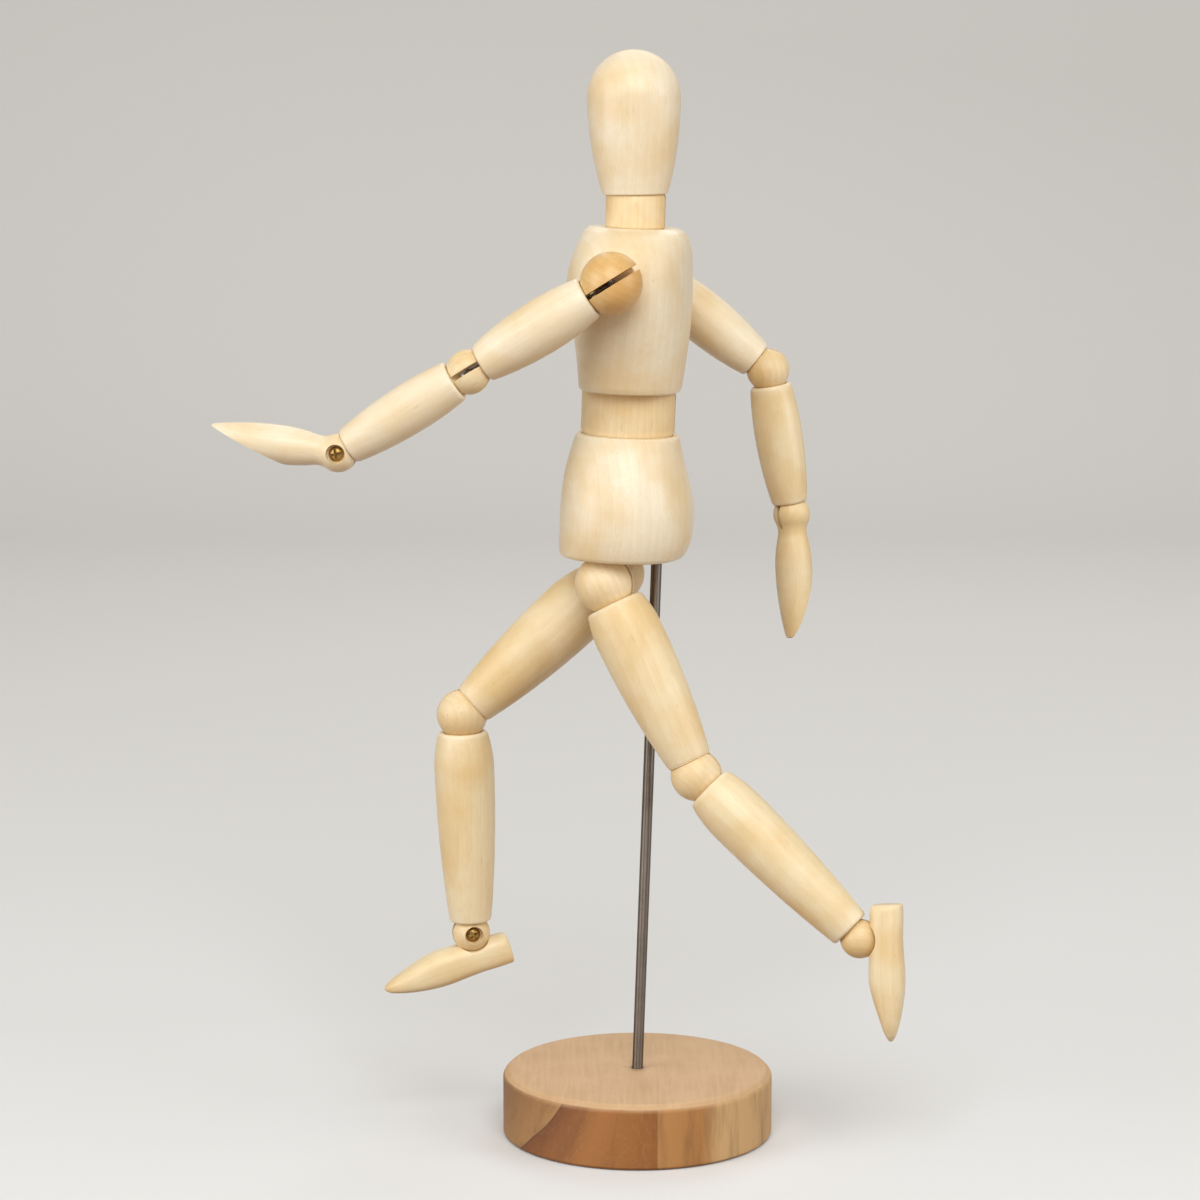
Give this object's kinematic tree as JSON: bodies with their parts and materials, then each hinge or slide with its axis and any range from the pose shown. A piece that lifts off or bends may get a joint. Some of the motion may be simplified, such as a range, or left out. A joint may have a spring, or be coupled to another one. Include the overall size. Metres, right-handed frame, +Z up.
{
  "type": "jointed wooden drawing figure",
  "caption": "Posable turned-wood drawing figure with slotted ball joints held by inner springs, standing on a steel rod in a round base.",
  "frame": {"origin": "centre of the underside of the round base", "axes": "+Z up; the figure faces -X and its left side is towards -Y"},
  "size_m": [0.1859, 0.0819, 0.2993],
  "materials": {
    "limb_wood": "fine sanded, thin clear varnish",
    "ball_wood": "fine sanded",
    "base_wood": "sanded, open straight grain",
    "rod_steel": "bright drawn rod",
    "spring_steel": "bright spring wire",
    "brass": "dull brass"
  },
  "bodies": {
    "base": {"base": "base_wood"},
    "stand_rod": {"stand_rod": "rod_steel"},
    "pelvis": {"pelvis": "limb_wood", "pelvis_studs": "brass"},
    "waist_spring": {"waist_spring": "spring_steel"},
    "waist": {"waist_ball": "ball_wood", "waist_stirrup": "spring_steel"},
    "chest": {"chest": "limb_wood", "spine_spring": "spring_steel", "shoulder_spring": "spring_steel"},
    "neck": {"neck_ball": "ball_wood", "neck_stirrup": "spring_steel"},
    "head": {"head": "limb_wood", "head_spring": "spring_steel"},
    "left_shoulder": {"left_shoulder_ball": "ball_wood", "left_shoulder_stirrup": "spring_steel"},
    "left_arm_hook": {"left_arm_hook": "spring_steel"},
    "left_upper_arm": {"left_upper_arm": "limb_wood", "left_upper_arm_spring": "spring_steel"},
    "left_elbow": {"left_elbow_ball": "ball_wood", "left_elbow_stirrup": "spring_steel"},
    "left_forearm": {"left_forearm": "limb_wood", "left_forearm_spring": "spring_steel"},
    "left_hand": {"left_hand": "limb_wood", "left_wrist_screw": "brass"},
    "left_hip_spring": {"left_hip_spring": "spring_steel"},
    "left_hip": {"left_hip_ball": "ball_wood", "left_hip_stirrup": "spring_steel"},
    "left_thigh": {"left_thigh": "limb_wood", "left_thigh_spring": "spring_steel"},
    "left_knee": {"left_knee_ball": "ball_wood", "left_knee_stirrup": "spring_steel"},
    "left_shin": {"left_shin": "limb_wood", "left_shin_spring": "spring_steel"},
    "left_foot": {"left_foot": "limb_wood", "left_ankle_ball": "ball_wood", "left_ankle_screw": "brass"},
    "right_shoulder": {"right_shoulder_ball": "ball_wood", "right_shoulder_stirrup": "spring_steel"},
    "right_arm_hook": {"right_arm_hook": "spring_steel"},
    "right_upper_arm": {"right_upper_arm": "limb_wood", "right_upper_arm_spring": "spring_steel"},
    "right_elbow": {"right_elbow_ball": "ball_wood", "right_elbow_stirrup": "spring_steel"},
    "right_forearm": {"right_forearm": "limb_wood", "right_forearm_spring": "spring_steel"},
    "right_hand": {"right_hand": "limb_wood", "right_wrist_screw": "brass"},
    "right_hip_spring": {"right_hip_spring": "spring_steel"},
    "right_hip": {"right_hip_ball": "ball_wood", "right_hip_stirrup": "spring_steel"},
    "right_thigh": {"right_thigh": "limb_wood", "right_thigh_spring": "spring_steel"},
    "right_knee": {"right_knee_ball": "ball_wood", "right_knee_stirrup": "spring_steel"},
    "right_shin": {"right_shin": "limb_wood", "right_shin_spring": "spring_steel"},
    "right_foot": {"right_foot": "limb_wood", "right_ankle_ball": "ball_wood", "right_ankle_screw": "brass"}
  },
  "joints": [
    {"name": "stand_turn", "type": "hinge", "parent": "base", "child": "stand_rod", "pos_m": [0, 0, 0.018], "axis": [0.0349, 0, 0.9994], "continuous": true},
    {"name": "figure_height", "type": "slide", "parent": "stand_rod", "child": "pelvis", "axis": [0.0349, 0, 0.9994], "range_m": [-0.002, 0.012]},
    {"name": "waist_turn", "type": "hinge", "parent": "pelvis", "child": "waist_spring", "pos_m": [-0.00279, 0.00137, 0.20181], "axis": [0.0349, 0, 0.9994], "range_deg": [-45, 45]},
    {"name": "waist_bend", "type": "hinge", "parent": "waist_spring", "child": "waist", "pos_m": [-0.00279, 0.00137, 0.20181], "axis": [0.1477, 0.989, -0.0052], "range_deg": [-30, 30]},
    {"name": "chest_turn", "type": "hinge", "parent": "waist", "child": "chest", "pos_m": [-0.00279, 0.00137, 0.20181], "axis": [0.0349, 0, 0.9994], "range_deg": [-45, 45]},
    {"name": "head_turn", "type": "hinge", "parent": "chest", "child": "neck", "pos_m": [-0.00089, 0.00137, 0.25618], "axis": [0.0349, 0, 0.9994], "range_deg": [-80, 80]},
    {"name": "head_nod", "type": "hinge", "parent": "neck", "child": "head", "pos_m": [-0.00089, 0.00137, 0.25618], "axis": [0.1477, 0.989, -0.0052], "range_deg": [-22, 22]},
    {"name": "left_shoulder_swing", "type": "hinge", "parent": "chest", "child": "left_shoulder", "pos_m": [-0.00754, -0.02957, 0.2388], "axis": [0.1477, 0.989, -0.0052], "range_deg": [-100, 90]},
    {"name": "left_shoulder_raise", "type": "hinge", "parent": "left_shoulder", "child": "left_arm_hook", "pos_m": [-0.00754, -0.02957, 0.2388], "axis": [-0.5238, 0.0827, 0.8478], "range_deg": [-1, 80]},
    {"name": "left_upper_arm_turn", "type": "hinge", "parent": "left_arm_hook", "child": "left_upper_arm", "pos_m": [-0.00754, -0.02957, 0.2388], "axis": [0.8436, -0.0879, 0.5297], "range_deg": [-90, 90]},
    {"name": "left_elbow_bend", "type": "hinge", "parent": "left_upper_arm", "child": "left_elbow", "pos_m": [-0.04525, -0.02564, 0.21512], "axis": [-0.5115, 0.1689, 0.8425], "range_deg": [-60, 60]},
    {"name": "left_forearm_turn", "type": "hinge", "parent": "left_elbow", "child": "left_forearm", "pos_m": [-0.04525, -0.02564, 0.21512], "axis": [0.8436, -0.0879, 0.5297], "range_deg": [-90, 90]},
    {"name": "left_wrist_bend", "type": "hinge", "parent": "left_forearm", "child": "left_hand", "pos_m": [-0.08009, -0.02201, 0.19324], "axis": [0.1184, 0.9927, -0.0237], "range_deg": [-93, 21]},
    {"name": "left_hip_turn", "type": "hinge", "parent": "pelvis", "child": "left_hip_spring", "pos_m": [-0.00923, -0.00801, 0.15591], "axis": [-0.0349, 0, -0.9994], "range_deg": [-7, 35]},
    {"name": "left_hip_swing", "type": "hinge", "parent": "left_hip_spring", "child": "left_hip", "pos_m": [-0.00923, -0.00801, 0.15591], "axis": [0.3581, 0.9336, -0.0125], "range_deg": [-15, 14]},
    {"name": "left_thigh_turn", "type": "hinge", "parent": "left_hip", "child": "left_thigh", "pos_m": [-0.00923, -0.00801, 0.15591], "axis": [0.432, -0.1776, -0.8842], "range_deg": [-45, 45]},
    {"name": "left_knee_bend", "type": "hinge", "parent": "left_thigh", "child": "left_knee", "pos_m": [0.01565, -0.01824, 0.10497], "axis": [0.2395, 0.9678, -0.0774], "range_deg": [-35, 24]},
    {"name": "left_shin_turn", "type": "hinge", "parent": "left_knee", "child": "left_shin", "pos_m": [0.01565, -0.01824, 0.10497], "axis": [0.7033, -0.2278, -0.6734], "range_deg": [-45, 45]},
    {"name": "left_ankle_bend", "type": "hinge", "parent": "left_shin", "child": "left_foot", "pos_m": [0.05932, -0.03239, 0.06316], "axis": [0.1922, 0.9729, -0.1285], "range_deg": [-9, 70]},
    {"name": "right_shoulder_swing", "type": "hinge", "parent": "chest", "child": "right_shoulder", "pos_m": [0.00177, 0.03274, 0.23847], "axis": [0.1477, 0.989, -0.0052], "range_deg": [-40, 150]},
    {"name": "right_shoulder_raise", "type": "hinge", "parent": "right_shoulder", "child": "right_arm_hook", "pos_m": [0.00177, 0.03274, 0.23847], "axis": [0.6227, -0.089, 0.7774], "range_deg": [-2, 80]},
    {"name": "right_upper_arm_turn", "type": "hinge", "parent": "right_arm_hook", "child": "right_upper_arm", "pos_m": [0.00177, 0.03274, 0.23847], "axis": [-0.7768, 0.0488, 0.6278], "range_deg": [-90, 90]},
    {"name": "right_elbow_bend", "type": "hinge", "parent": "right_upper_arm", "child": "right_elbow", "pos_m": [0.03649, 0.03056, 0.21041], "axis": [0.0938, 0.9948, 0.0387], "range_deg": [-100, 15]},
    {"name": "right_forearm_turn", "type": "hinge", "parent": "right_elbow", "child": "right_forearm", "pos_m": [0.03649, 0.03056, 0.21041], "axis": [-0.1692, -0.0224, 0.9853], "range_deg": [-90, 90]},
    {"name": "right_wrist_bend", "type": "hinge", "parent": "right_forearm", "child": "right_hand", "pos_m": [0.04348, 0.03148, 0.16971], "axis": [-0.5868, 0.8055, -0.0824], "range_deg": [-67, 48]},
    {"name": "right_hip_turn", "type": "hinge", "parent": "pelvis", "child": "right_hip_spring", "pos_m": [-0.00628, 0.01177, 0.1558], "axis": [0.0349, 0, 0.9994], "range_deg": [-35, 12]},
    {"name": "right_hip_swing", "type": "hinge", "parent": "right_hip_spring", "child": "right_hip", "pos_m": [-0.00628, 0.01177, 0.1558], "axis": [-0.1477, 0.989, 0.0052], "range_deg": [-40, 15]},
    {"name": "right_thigh_turn", "type": "hinge", "parent": "right_hip", "child": "right_thigh", "pos_m": [-0.00628, 0.01177, 0.1558], "axis": [0.7352, 0.1063, 0.6694], "range_deg": [-45, 45]},
    {"name": "right_knee_bend", "type": "hinge", "parent": "right_thigh", "child": "right_knee", "pos_m": [-0.04863, 0.00564, 0.11725], "axis": [-0.1477, 0.989, 0.0052], "range_deg": [-5, 70]},
    {"name": "right_shin_turn", "type": "hinge", "parent": "right_knee", "child": "right_shin", "pos_m": [-0.04863, 0.00564, 0.11725], "axis": [-0.0341, -0.0103, 0.9994], "range_deg": [-45, 45]},
    {"name": "right_ankle_bend", "type": "hinge", "parent": "right_shin", "child": "right_foot", "pos_m": [-0.04651, 0.00628, 0.05518], "axis": [-0.2333, 0.9724, 0.0021], "range_deg": [-42, 58]}
  ]
}
